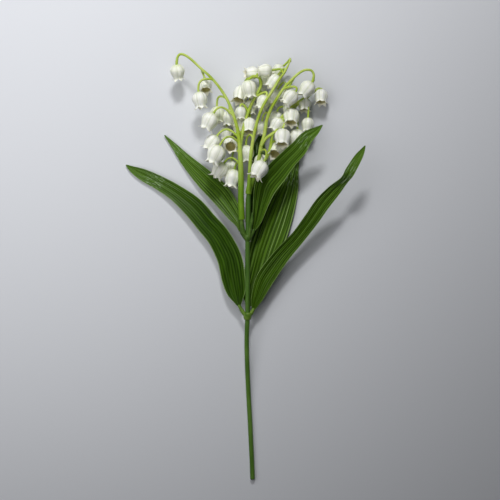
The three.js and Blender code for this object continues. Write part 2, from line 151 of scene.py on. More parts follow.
# Arms and pegs on the collars, from the ring outwards: x, y, height, radius.
LOWER_ARMS = {
    "left": [[-4.6, 124, 11.8, 2], [-8, 128.4, 11.6, 1.8], [-11, 133.4, 11.3, ARM_RADIUS]],
    "right": [[-2.7, 124, 11.8, 2], [-0.2, 127.2, 12.1, 1.8], [1.6, 130.4, 12.4, ARM_RADIUS]],
    "back": [[-3.5, 124, 10.8, 2], [-3, 128.4, 9, 1.8], [-2.5, 132.6, 7.7, ARM_RADIUS]],
}
UPPER_ARMS = {
    "left": [[-4.4, 193.6, 16, 2], [-6.8, 196.2, 15.2, 1.7], [-9, 199.6, 14.2, ARM_RADIUS]],
    "right": [[-2.6, 193.6, 16.5, 2], [-0.2, 197, 16.8, 1.7], [1.8, 201.4, 17, ARM_RADIUS]],
    "back": [[-3.2, 193.6, 15, 2], [-2.9, 197.6, 11.9, 1.7], [-2.4, 202, 10, ARM_RADIUS]],
}
PEGS = {
    "left": [
        [-4.6, 194.5, 17, 2.1],
        [-7.4, 200.5, 18, 2.1],
        [-8.7, 207.4, 18.8, 2],
        [-8.8, 214.6, 19.4, 1.6],
    ],
    "right": [
        [-2.4, 195, 15.2, 1.9],
        [-2.6, 201, 13.6, 1.9],
        [-3, 206.4, 12.6, 1.8],
        [-3.1, 213, 12.3, 1.5],
    ],
    "spare": [
        [-2.2, 195.5, 18.4, 1.4],
        [-1, 204, 20.3, 1.5],
        [0.3, 211, 21.2, 1.4],
        [0.6, 217, 21.8, 0.35],
    ],
}

# Each leaf's midrib from its arm to its tip: x, y, height, half width, and roll in degrees, which
# lifts the edge on the right as the leaf grows away.
LEAVES = {
    "leaf_lower_left": [
        [-11.3, 133.8, 11.2, 1.7, 0],
        [-13.6, 145, 9, 8.2, 2],
        [-16.2, 159, 8.3, 10.8, 4],
        [-19.8, 177, 8.4, 11.2, 6],
        [-29, 195, 8.2, 10.5, 6],
        [-40, 208, 7.4, 10, 6],
        [-53, 223, 6, 9.5, 6],
        [-69, 236, 4.4, 7.5, 8],
        [-84, 245, 3.2, 6.5, 10],
        [-98, 252, 2.4, 5.5, 10],
        [-108, 257, 1.8, 3, 6],
        [-114, 261, 1.5, 0.5, 0],
    ],
    "leaf_lower_right": [
        [1.9, 130.8, 12.4, 1.7, 10],
        [5, 141, 12.9, 5.3, 0],
        [12, 158, 13.8, 8, -3],
        [26, 178, 15.5, 7.4, -5],
        [41, 195, 18, 6.4, -5],
        [53, 211, 21, 6.7, -5],
        [62.5, 225, 24.5, 6.8, -8],
        [72, 236.2, 28, 6.2, -20],
        [81.6, 246.5, 31, 5, -42],
        [87.6, 254.8, 33.6, 4.4, 5],
        [93.8, 264.5, 36.2, 4, 30],
        [99, 274.8, 38, 0.5, 0],
    ],
    "leaf_lower_back": [
        [-2.4, 133.1, 7.5, 2, 0],
        [-0.6, 144, 5.9, 8, 0],
        [5.5, 163, 4.2, 12.3, 0],
        [11.5, 183, 2.8, 14.5, 0],
        [18.8, 204, 1.8, 15.2, 0],
        [26, 224, 1.2, 13.5, 0],
        [32, 241, 0.9, 10.5, 0],
        [36, 256, 0.9, 7, 0],
        [40, 267, 1.4, 3.5, 0],
        [42, 276, 2, 0.5, 0],
    ],
    "leaf_upper_left": [
        [-9.5, 200.4, 13.9, 1.8, 0],
        [-10.8, 207.6, 12.2, 4.4, 4],
        [-15.5, 216.5, 9.4, 7.2, 6],
        [-28.4, 234.6, 5.2, 9.6, 6],
        [-43, 249, 3.6, 8.5, 6],
        [-59, 265, 2.2, 5.5, 4],
        [-71, 279, 1.8, 2.5, 0],
        [-79, 288, 2, 0.5, 0],
    ],
    "leaf_upper_right": [
        [2, 201.9, 17, 1.7, 0],
        [5, 211, 17.4, 4.4, -8],
        [8.5, 227, 19, 7.5, -12],
        [13, 242, 21.2, 10.5, -12],
        [22, 253, 23.4, 10, -12],
        [31, 263, 26, 8.5, -10],
        [41, 273, 29, 7.5, -8],
        [48, 282, 32, 6, -5],
        [56, 288, 34, 3.5, 0],
        [62, 293, 35.5, 0.5, 0],
    ],
    "leaf_upper_back": [
        [-2.3, 202.6, 9.7, 1.7, 0],
        [0.6, 212, 6.6, 4.8, 0],
        [4, 229, 4.8, 8, 0],
        [5, 247, 2.4, 9, 0],
        [7, 264, 0.9, 8, 0],
        [7, 278, 0.8, 5.5, 0],
        [8, 290, 1.2, 0.5, 0],
    ],
}

# Each leaf's looks: how strong the painted highlights along its ribs are, how much light green is on
# its face, and how far a painted highlight pales it towards its tip.
LEAF_LOOKS = {
    "leaf_lower_left": (0.1, 0.2, 1),
    "leaf_lower_right": (0.35, 0.7, 1),
    "leaf_lower_back": (0.75, 1, 0),
    "leaf_upper_left": (0.4, 1.2, 1),
    "leaf_upper_right": (0.1, 1, 1),
    "leaf_upper_back": (0.2, 0.2, 0),
}

# Each spray's moulded stems, from the foot up: x, y, height, radius. The first carries the socket.
# Its bells: crown x, y, height, lean to the right and nod upwards in degrees, and size; then, where
# its pedicel doesn't leave from the nearest place, the row of the stem that it leaves from.
SPRAYS = {
    "spray_left": {
        "stems": [
            [
                [-8.7, 211, 19.1, 3.1],
                [-8.9, 216, 19.6, 2.9],
                [-9.4, 229, 20.4, 2.9],
                [-9.4, 246, 21.2, 2.8],
                [-9.9, 263.5, 22, 2.4],
                [-11.2, 283, 23, 1.9],
                [-14.5, 298.5, 24, 1.6],
                [-20.5, 314.5, 25, 1.4],
                [-28, 327, 25, 1.3],
                [-36.5, 337, 25, 1.25],
                [-45.5, 345, 25, 1.2],
                [-53.5, 352.5, 25, 1.2],
                [-59.5, 356.6, 24, 1.2],
                [-63.4, 357.2, 23.5, 1.2],
                [-65.8, 354.6, 22.5, 1.25],
                [-66.6, 348.8, 21.5, 1.3],
            ],
            [
                [-10.4, 273, 22.4, 1.7],
                [-8.8, 284, 20.6, 1.6],
                [-6.4, 296, 17.5, 1.55],
                [-3.2, 306.5, 16, 1.5],
                [0.6, 315.5, 16, 1.5],
                [5, 323.5, 17, 1.45],
                [8.4, 331, 18.5, 1.4],
                [6.8, 336.8, 19.8, 1.4],
                [1.6, 338.2, 20.6, 1.4],
                [-3.6, 334.8, 20.8, 1.3],
            ],
        ],
        "bells": [
            [-66.6, 348.8, 21.5, 6, -26, 0.9],
            [-42, 337, 9.2, 6, 32, 0.88, 9.5],
            [-47, 324, 24.5, 9, -4, 0.97, 8.75],
            [-33.5, 304.7, 27, -27, -4, 1.04, 6.25],
            [-31, 312.5, 13.5, 3, 0, 0.95, 7.25],
            [-19.8, 309.8, 11, -4, 0, 0.95],
            [-30.7, 285.5, 20, -36, -4, 1, 5],
            [-27.8, 275.8, 31, -24, -2, 1.14, 4.75],
            [-24.5, 261.3, 19, -32, 0, 1, 3.75],
            [-18, 264.5, 6.4, -5, 0, 0.85],
            [-15.3, 256, 15.2, -12, 0, 1.06],
            [-18.6, 282.2, 7, 0, 62, 1],
            [6.5, 343, 13, -84, 14, 0.85],
            [-3.6, 334.8, 20.8, 9, -4, 1.02],
            [-7.4, 331, 5, -18, 26, 1.08, 7.5],
            [8, 331.5, 6.6, 2, 0, 0.78],
            [-10, 312, 16.6, 2, 0, 0.75, 3],
            [-10, 302.5, 7, -5, 0, 0.96],
            [-1.8, 302, 11.5, -3, 22, 1],
            [13.2, 321, 21, -27, 0, 0.87, 4.5],
        ],
    },
    "spray_centre": {
        "stems": [
            [
                [-2.6, 233.9, 20.1, 3],
                [-2.5, 237.5, 20.6, 2.8],
                [-2.3, 241.5, 21.2, 2],
                [-2, 247, 22, 1.9],
                [-1.4, 258, 24, 1.75],
                [-0.2, 271.5, 26, 1.7],
                [2, 284.5, 28, 1.6],
                [5, 297, 29, 1.5],
                [8.5, 307, 30, 1.45],
                [13.5, 316.5, 30, 1.4],
                [19, 325, 30, 1.35],
                [24, 333.5, 29, 1.3],
                [29, 340.5, 28, 1.2],
                [32, 346.5, 27, 1],
                [34.5, 352, 26, 0.6],
            ],
        ],
        "bells": [
            [28.5, 348.8, 12.5, -50, 0, 0.8, 13.75],
            [18.3, 342.8, 26.4, -86, 0, 0.82, 11.75],
            [23.5, 339, 22, -36, 0, 0.9],
            [-5, 278, 12.6, 3, 0, 1, 5.75],
        ],
    },
    "spray_right": {
        "stems": [
            [
                [-3, 209, 12.4, 2.9],
                [-3.1, 214, 12.3, 2.5],
                [-2.8, 231.5, 12.8, 2.3],
                [1.2, 246.5, 14.4, 2.1],
                [6, 262.5, 16.2, 1.9],
                [8.5, 276.5, 18, 1.8],
                [11.5, 287, 20, 1.7],
                [13.5, 299.5, 21, 1.6],
                [18, 310.5, 22, 1.5],
                [23, 319, 23, 1.4],
                [28, 326.5, 24, 1.35],
                [34, 333, 24, 1.3],
                [40, 338.8, 24, 1.25],
                [45, 342.3, 24, 1.2],
                [49, 343.4, 24, 1.15],
                [53.2, 342.8, 23, 1.15],
                [55.3, 338.8, 22, 1.2],
                [54, 333, 21, 1.25],
            ],
            [
                [8.5, 276.5, 18.5, 1.6],
                [12.8, 283, 19.5, 1.5],
                [18.2, 287, 20, 1.5],
                [22.2, 291, 19.6, 1.5],
                [26.2, 297.8, 18, 1.45],
                [30.5, 303.5, 15.6, 1.4],
                [37, 310, 13, 1.3],
                [43, 316, 11.3, 1.25],
                [49.5, 321, 10, 1.2],
                [55.5, 325.8, 9, 1.2],
                [60, 329.3, 8.5, 1.15],
                [63, 328.3, 7.8, 1.15],
            ],
            [
                [5, 253.5, 15, 1.7],
                [10.6, 261.5, 14.4, 1.6],
                [14.6, 269, 14.6, 1.5],
                [17, 277, 15.6, 1.5],
                [18, 283, 17.6, 1.5],
                [18.6, 287, 19.8, 1.3],
            ],
        ],
        "bells": [
            [54, 333, 21, -38, -5, 1],
            [39, 323.6, 27, -42, -3, 0.95, 10],
            [26, 301.5, 17, -33, 0, 0.85, 8],
            [23, 309, 6.8, -8, 0, 0.9],
            [23.5, 328.5, 9.5, -25, 0, 0.95],
            [9.6, 300, 7, -3, 0, 0.8],
            [11, 261.3, 34, -30, 8, 1.08],
            [8.5, 270, 11, 0, 0, 0.9],
            [63, 328.3, 7.8, -3, 20, 0.92],
            [47.6, 321, 7.5, 0, 16, 0.85],
            [36, 309.3, 17, -5, 27, 1.04],
            [50.6, 302.5, 14, -3, 0, 0.82],
            [41, 292, 15, -4, 0, 1.05],
            [28, 291, 20, -4, 22, 1.08],
            [26, 278, 6, -30, 45, 1.05],
            [34, 330.5, 14, -20, 0, 0.85],
        ],
    },
}

# More bells, deep in the cluster, that the light solids leave out. Their rows are like the others'.
DEEP_BELLS = {
    "spray_left": [
        [-1.5, 319, 8, 2, 0, 0.85],
        [9.2, 318.4, 5.8, 2, 0, 0.66],
        [11.8, 344, 8.5, 0, 0, 0.75],
        [-22.5, 295.5, 7, -5, 0, 0.8],
    ],
    "spray_centre": [],
    "spray_right": [
        [33.5, 318, 6.3, 0, 0, 0.82],
    ],
}


def unit(vectors):
    """The vectors, each divided by its own length."""
    return vectors / np.linalg.norm(vectors, axis=-1, keepdims=True)


def spline(rows, count):
    """The rows' values at count even steps along their list.

    Between two rows each value follows a cubic that leaves a row with half the step from the row
    before it to the row after it. Past both ends the list is carried on straight.
    """
    rows = np.array(rows, float)
    last = len(rows) - 1
    longer = np.vstack([2 * rows[:1] - rows[1:2], rows, 2 * rows[-1:] - rows[-2:-1]])
    at = np.linspace(0, last, count)
    i = np.minimum(at.astype(int), last - 1)
    f = (at - i)[:, None]
    before, start, end, after = (longer[i + k] for k in range(4))
    leaving = (end - before) / 2
    arriving = (after - start) / 2
    places = (2 * f**3 - 3 * f**2 + 1) * start + (3 * f**2 - 2 * f**3) * end
    return places + (f**3 - 2 * f**2 + f) * leaving + (f**3 - f**2) * arriving


def headings(path):
    """The direction of travel at each point: the step from the point before it to the one after."""
    return unit(np.vstack([path[1:], path[-1:]]) - np.vstack([path[:1], path[:-1]]))


def lengths(path):
    """The distance along the path to each of its points."""
    return np.concatenate([[0], np.cumsum(np.linalg.norm(np.diff(path, axis=0), axis=1))])


def tube(path, radii, sides):
    """A grid of circles, one at each point of the path, square to it and of that point's radius.

    Each circle starts in the plane that fits the whole path best.
    """
    ways = headings(path)
    plane = np.linalg.svd(path - path.mean(0), full_matrices=False)[2][-1]
    side = unit(np.cross(ways, plane))
    up = np.cross(side, ways)
    turn = np.linspace(0, 2 * np.pi, sides, endpoint=False)[None, :, None]
    circle = np.cos(turn) * side[:, None] + np.sin(turn) * up[:, None]
    return path[:, None] + np.asarray(radii)[:, None, None] * circle


def rounded(path, radii, end_only=False):
    """The path and radii with a half-round cap at the end, and at the start unless end_only.

    A cap's circles lie on a quarter turn: out by the sine of the angle, and as wide as its cosine.
    """
    out, wide = np.sin(CAP_TURNS), np.cos(CAP_TURNS)
    ways = headings(path)
    path = np.vstack([path, path[-1] + ways[-1] * radii[-1] * out[:, None]])
    radii = np.concatenate([radii, radii[-1] * wide])
    if not end_only:
        path = np.vstack([path[0] - ways[0] * radii[0] * out[::-1, None], path])
        radii = np.concatenate([radii[0] * wide[::-1], radii])
    return path, radii


class Shells:
    """Closed surfaces that make up one mesh, with named values at their corners."""

    def __init__(self):
        self.corners = []
        self.faces = []
        self.values = {}
        self.count = 0

    def add(self, grid, **values):
        """A grid of rings, closed round each ring, with a pole at the middle of both end rings.

        Its faces are turned round where they enclose a volume below zero, so that all face out.
        """
        rings, sides = grid.shape[:2]
        corners = np.vstack([grid.reshape(-1, 3), grid[:1].mean(1), grid[-1:].mean(1)])
        ring = np.arange(rings - 1)[:, None] * sides
        side = np.arange(sides)[None, :]
        beside = (side + 1) % sides
        quads = np.stack([ring + side, ring + beside, ring + sides + beside, ring + sides + side], -1)
        quads = quads.reshape(-1, 4)
        last = (rings - 1) * sides
        poles = np.full((1, sides), rings * sides)
        first_fan = np.stack([poles, beside, side], -1).reshape(-1, 3)
        last_fan = np.stack([poles + 1, last + side, last + beside], -1).reshape(-1, 3)
        thirds = np.vstack([quads[:, :3], quads[:, [0, 2, 3]], first_fan, last_fan])
        a, b, c = (corners[thirds[:, k]] for k in range(3))
        turned = -1 if np.einsum("ij,ij->", a, np.cross(b, c)) < 0 else 1
        for some in (quads, first_fan, last_fan):
            self.faces += (some[:, ::turned] + self.count).tolist()
        self.corners.append(corners)
        for name, value in values.items():
            spread = np.broadcast_to(value, (rings, sides))
            with_poles = np.concatenate([spread.ravel(), [spread[0].mean(), spread[-1].mean()]])
            self.values.setdefault(name, []).append(with_poles)
        self.count += len(corners)

    def mesh(self, name):
        """The shells as one mesh in metres, with each named value as an attribute of its corners."""
        mesh = bpy.data.meshes.new(name)
        mesh.from_pydata(np.vstack(self.corners) * MM, [], self.faces)
        for key, value in self.values.items():
            attribute = mesh.attributes.new(key, "FLOAT", "POINT")
            attribute.data.foreach_set("value", np.concatenate(value).astype(np.float32))
        return mesh


def show(name, mesh, finish, node):
    """Puts a mesh in the scene as a smooth piece of the part that stands for a node of the model."""
    mesh.polygons.foreach_set("use_smooth", np.ones(len(mesh.polygons), bool))
    mesh.materials.append(finish)
    piece = bpy.data.objects.new(name, mesh)
    bpy.context.scene.collection.objects.link(piece)
    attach(piece, "root")
    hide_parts(node)
    return piece


def stem_shells():
    """A round bar through the stem's rows, with a bevelled cut end and swellings in its coating.

    The swellings are two sines along the stem, each under a hundredth of the radius. They only take
    away from it, so that the coating stays inside the stem's radius.
    """
    line = spline(STEM_ROWS, STEM_PLACES)
    path, radii = rounded(line[:, :3], line[:, 3], end_only=True)
    cut = path[:1] - headings(path)[:1] * CUT_BEVEL
    path, radii = np.vstack([cut, path]), np.concatenate([radii[:1] - CUT_BEVEL, radii])
    along = lengths(path)
    swelling, step = STEM_SWELLING
    slow_swelling, slow_step = STEM_SLOW_SWELLING
    coat = 1 + swelling * np.sin(along / step) + slow_swelling * np.sin(along / slow_step + 1)
    coat -= swelling + slow_swelling
    shells = Shells()
    shells.add(tube(path, radii * coat, STEM_SIDES), along=along[:, None])
    return shells


def collar_shells(ring, branches):
    """A ring on the stem, waisted at both ends, and the arms and pegs that grow from it."""
    row = ring["row"]
    way = unit(np.array(STEM_ROWS[row + 1][:3]) - np.array(STEM_ROWS[row - 1][:3]))
    share, wide = np.array(RING_PROFILE).T
    places = STEM_ROWS[row][:3] + way * (share * ring["length"])[:, None]
    shells = Shells()
    shells.add(tube(places, wide * ring["radius"], RING_SIDES))
    for rows in branches:
        line = spline(rows, ARM_PLACES)
        shells.add(tube(*rounded(line[:, :3], line[:, 3]), ARM_SIDES))
    return shells


def collar(name, node, ring, branches, finish):
    """The collar's shells fused in one skin, softened where they meet, and bored for the stem."""
    piece = show(name, collar_shells(ring, branches).mesh(name), finish, node)
    bore = spline(STEM_ROWS[ring["row"] - 1 : ring["row"] + 2], BORE_PLACES)
    cut = Shells()
    cut.add(tube(bore[:, :3], bore[:, 3] + BORE_GAP, BORE_SIDES))
    cutter = bpy.data.objects.new("cutter", cut.mesh("cutter"))
    bpy.context.scene.collection.objects.link(cutter)
    fuse = piece.modifiers.new("fuse", "REMESH")
    fuse.mode = "VOXEL"
    fuse.voxel_size = COLLAR_VOXEL * MM
    soften = piece.modifiers.new("soften", "SMOOTH")
    soften.factor = 0.5
    soften.iterations = 8
    hole = piece.modifiers.new("hole", "BOOLEAN")
    hole.operation = "DIFFERENCE"
    hole.object = cutter
    applied = bpy.data.meshes.new_from_object(piece.evaluated_get(bpy.context.evaluated_depsgraph_get()))
    piece.modifiers.clear()
    piece.data = applied
    applied.polygons.foreach_set("use_smooth", np.ones(len(applied.polygons), bool))
    bpy.data.objects.remove(cutter)


def blade_shells(rows, ridge_highlight, light, tip_highlight, seed):
    """A strap blade with a rounded rim, worked out over v, which runs from -1 to 1 across it.

    The middle surface rises over its midrib by a channel, that grows with v to the 1.4th; by
    broad folds, a cosine of three half turns from the midrib to an edge; by fine ribs, a cosine of
    RIBS half turns; and by a wave, a sine along the blade that grows with v cubed. The faces lie
    half a thickness to both sides, and close in on each other near the rim by the root of 1 - v to
    the 12th. The leaf's looks go on as attributes, beside v, the distance along the midrib, its
    share of the whole, and which face it is.
    """
    line = spline(rows, BLADE_PLACES)
    middle = line[:, :3]
    ways = headings(middle)
    level = unit(np.stack([ways[:, 1], -ways[:, 0], 0 * ways[:, 0]], -1))
    over = np.cross(level, ways)
    roll = np.radians(line[:, 4])[:, None]
    across = level * np.cos(roll) + over * np.sin(roll)
    normal = np.cross(across, ways)
    half = np.maximum(line[:, 3], LEAST_HALF)[:, None]
    along = lengths(middle)[:, None]

    # The lines across a face lie closer together towards its edges.
    step = np.linspace(-1, 1, BLADE_LINES)
    v = np.sin(step * np.pi / 2) * 0.35 + step * 0.65
    v = np.concatenate([v, v[::-1]])[None, :]
    face = np.repeat([1.0, -1.0], len(step))[None, :]
    grown = np.minimum(1, half / RIBBED_FROM)
    channel = BLADE_CHANNEL * half * np.abs(v) ** 1.4
    folds = -FOLD_HEIGHT * grown * np.cos(3 * np.pi * v)
    ribs = -RIB_HEIGHT * grown * np.cos(RIBS * np.pi * v)
    waves = WAVE_HEIGHT * grown * v**3 * np.sin(along / 9 + 2 * v)
    thick = 0.5 * BLADE_THICKNESS * (0.2 + 0.8 * np.sqrt(1 - np.abs(v) ** 12))
    rise = channel + folds + ribs + waves + face * thick
    shells = Shells()
    grid = middle[:, None] + across[:, None] * (half * v)[..., None] + normal[:, None] * rise[..., None]
    share = along / along[-1]
    looks = {"ridge_highlight": ridge_highlight, "light": light, "tip_highlight": tip_highlight, "seed": seed}
    shells.add(grid, across=v, along=along, share=share, face=face, **looks)
    return shells


def bell_axis(lean, nod):
    """The direction from a bell's crown to its mouth."""
    a, b = np.radians([lean, nod])
    return np.array([np.sin(a) * np.cos(b), -np.cos(a) * np.cos(b), np.sin(b)])


def add_bell(shells, row, spin, chance):
    """One open bell, as a skin carried round the bell's axis, with a wall that thins down its lobes.

    Its outside follows the profile down to the neck. From there each lobe curls out on an arc, with
    a length that falls from the lobe's tip to its sides by the power of 1.5. Seams between the lobes
    press in by one less the root of a cosine, and finer creases by a cosine of twice the turns. The
    bell is squashed by cosines of twice and three times the turn, and by a spiral, a sine of the turn
    and the depth. The inside is the outside moved in by the wall, square to the skin.
    """
    x, y, z, lean, nod, size = row[:6]
    axis = bell_axis(lean, nod)
    side = unit(np.cross(axis, [0, 0, 1]))
    up = np.cross(side, axis)
    turn = np.linspace(0, 2 * np.pi, BELL_SIDES, endpoint=False)[None, :]
    tip = 1 - np.arccos(np.cos(BELL_LOBES * turn)) / np.pi
    seam = 1 - np.sqrt(np.abs(np.cos(BELL_LOBES / 2 * turn)))
    crease = 0.5 - 0.5 * np.cos(2 * BELL_LOBES * turn)

    body = spline(BELL_PROFILE, BELL_PLACES)[:, :, None]
    share = np.linspace(0, 1, LOBE_PLACES + 1)[1:, None]
    lobe = np.round(BELL_LOBES * turn / (2 * np.pi)).astype(int) % BELL_LOBES
    length = LIP + LOBE_LENGTH * tip**1.5 * chance.uniform(*LOBE_SPREAD, BELL_LOBES)[lobe]
    swept = FLARE_START + FLARE * share * length
    neck_depth, neck_radius = BELL_PROFILE[-1]
    lobe_depth = neck_depth + (np.sin(swept) - np.sin(FLARE_START)) / FLARE
    lobe_radius = neck_radius + (np.cos(FLARE_START) - np.cos(swept)) / FLARE
    depth = np.vstack([body[:, 0] + 0 * turn, lobe_depth])
    radius = np.vstack([body[:, 1] + 0 * turn, lobe_radius])
    down, out = np.gradient(depth, axis=0), np.gradient(radius, axis=0)
    steepness = np.hypot(down, out)
    thinning = np.concatenate([np.ones(BELL_PLACES), np.linspace(*LOBE_THINNING, LOBE_PLACES)])
    wall = BELL_WALL * thinning[:, None]
    inner_depth = depth + wall * out / steepness
    inner_radius = np.maximum(radius - wall * down / steepness, 0.05)

    belly = np.sin(np.pi * np.clip(depth / neck_depth, 0, 1)) ** 0.7
    pressed = belly * (CREASE * seam + 0.35 * CREASE * crease)
    first, second, third = chance.uniform(0, 2 * np.pi, 3)
    squash = SQUASH * np.cos(2 * turn + first) + THREE_SIDED * np.cos(3 * turn + second)
    squash = squash + SPIRAL * np.sin(depth * 0.7 + turn + third)
    scale = 1 - pressed + squash * belly
    depths = np.vstack([depth, inner_depth[::-1]])[..., None] * size
    radii = np.vstack([radius * scale, (inner_radius * scale)[::-1]])[..., None] * size
    # Fine lengthwise lines round the bell, on which the finish paints crease shade.
    streak = 0.5 + 0.28 * np.cos(9 * turn + first) + 0.22 * np.cos(16 * turn + 2 * second)
    round_axis = np.cos(turn + spin)[..., None] * side - np.sin(turn + spin)[..., None] * up
    inside = np.repeat([0.0, 1.0], len(depth))[:, None]
    shells.add(
        np.array([x, y, z]) + axis * depths + round_axis * radii,
        inside=inside,
        depth=np.vstack([depth, depth[::-1]]) / neck_depth,
        seam=seam,
        streak=streak,
        tone=chance.uniform(),
    )


def add_pedicel(shells, spine, row):
    """A thin bar from the spine, over in an arch and down into the bell's crown.

    It leaves the spine at the row's own place, or at the point nearest to the top of its arch. Its
    path is a cubic Bezier curve. It is thickest at its root, and swells again at the crown.
    """
    crown = np.array(row[:3], float)
    axis = bell_axis(row[3], row[4])
    at = np.linalg.norm(spine - (crown - axis * PEDICEL_ARCH), axis=1).argmin()
    if len(row) > 6:
        at = round(row[6] * PLACES_PER_ROW)
    root = spine[at]
    apart = crown - root
    if np.linalg.norm(apart) < PEDICEL_RADIUS:
        return
    reach = 1.5 + 0.5 * np.linalg.norm(apart)
    leave = unit(headings(spine)[at] + 0.8 * unit(apart))
    ends = [root, root + leave * reach, crown - axis * reach, crown + axis * PEDICEL_SINK]
    t = np.linspace(0, 1, PEDICEL_PLACES)[:, None]
    weights = [(1 - t) ** 3, 3 * t * (1 - t) ** 2, 3 * t**2 * (1 - t), t**3]
    path = sum(weight * end for weight, end in zip(weights, ends))
    swell = 1 + 0.35 * np.exp(-lengths(path) / 1.5) + 0.3 * np.exp(-lengths(path)[::-1] / 1.2)
    shells.add(tube(path, PEDICEL_RADIUS * swell, PEDICEL_SIDES), along=lengths(path)[:, None])


def spray_shells(spray, deep_bells, chance):
    """The spray's moulded stems with their pedicels, and its bells, each as shells of their own."""
    stems, bells = Shells(), Shells()
    spines = []
    for rows in spray["stems"]:
        line = spline(rows, len(rows) * SPRAY_STEM_PLACES)
        spines.append(spline(rows, (len(rows) - 1) * PLACES_PER_ROW + 1)[:, :3])
        path, radii = rounded(line[:, :3], line[:, 3] * SPRAY_STEM_SHARE, end_only=True)
        stems.add(tube(path, radii, SPRAY_STEM_SIDES), along=lengths(path)[:, None])
    for i, row in enumerate(spray["bells"] + deep_bells):
        crown = np.array(row[:3])
        spine = min(spines, key=lambda one: np.linalg.norm(one - crown, axis=1).min())
        add_pedicel(stems, spine, row)
        add_bell(bells, row, i * BELL_TURN, chance)
    return stems, bells


class Finish:
    """A material in the making. A method that adds a node to it gives the node's output."""

    def __init__(self, name, constants):
        self.material = bpy.data.materials.new(name)
        self.material.use_nodes = True
        self.tree = self.material.node_tree
        self.shader = self.tree.nodes["Principled BSDF"]
        for socket, value in constants.items():
            self.shader.inputs[socket].default_value = value

    def node(self, kind, inputs, output=0, **settings):
        """A node of the kind, with a value or another node's output in each socket that is named."""
        made = self.tree.nodes.new("ShaderNode" + kind)
        for key, value in settings.items():
            setattr(made, key, value)
        for socket, value in inputs.items():
            self.put(made.inputs[socket], value)
        return made.outputs[output]

    def put(self, socket, value):
        """Links another node's output to the socket, or sets it to a plain value."""
        if isinstance(value, bpy.types.NodeSocket):
            self.tree.links.new(value, socket)
        else:
            socket.default_value = value

    def attribute(self, name):
        """The value that the mesh carries under that name."""
        return self.node("Attribute", {}, "Fac", attribute_name=name)

    def place(self, scale=(1, 1, 1)):
        """Object coordinates in metres, times a scale along each axis."""
        spot = self.node("TexCoord", {}, "Object")
        return self.node("Mapping", {"Vector": spot, "Scale": scale})

    def up_the_stem(self):
        """How far a point lies along Y, in metres."""
        return self.node("SeparateXYZ", {"Vector": self.place()}, "Y")

    def vector(self, x, y, z):
        """Three values as the place where a noise is read."""
        return self.node("CombineXYZ", {"X": x, "Y": y, "Z": z})

    def math(self, operation, a, b=0.0):
        """One sum, such as MULTIPLY, on two values, or on the first alone where it takes only one."""
        return self.node("Math", {0: a, 1: b}, operation=operation)

    def between(self, value, low, high, to_low=0.0, to_high=1.0):
        """The value spread so that low gives to_low, and high gives to_high."""
        ends = {"Value": value, "From Min": low, "From Max": high, "To Min": to_low, "To Max": to_high}
        return self.node("MapRange", ends)

    def noise(self, vector, scale, detail=3.0):
        """A cloudy value about 0.5, finer as the scale grows and rougher with more detail."""
        return self.node("TexNoise", {"Vector": vector, "Scale": scale, "Detail": detail}, "Fac")

    def mix(self, factor, low, high):
        """A colour between low, where the factor is 0, and high, where it is 1."""
        made = self.tree.nodes.new("ShaderNodeMix")
        made.data_type = "RGBA"
        for socket, value in zip((made.inputs[0], made.inputs[6], made.inputs[7]), (factor, low, high)):
            self.put(socket, value)
        return made.outputs[2]

    def bump(self, height, distance):
        """Relief of that depth in metres, on the shader's normal."""
        made = self.node("Bump", {"Height": height, "Distance": distance, "Strength": 1.0}, "Normal")
        self.put(self.shader.inputs["Normal"], made)


def colour(red, green, blue):
    """A screen colour, from 0 to 255, as the linear colour that a shader takes."""
    share = np.array([red, green, blue]) / 255
    linear = np.where(share > 0.04045, ((share + 0.055) / 1.055) ** 2.4, share / 12.92)
    return (*linear.tolist(), 1.0)


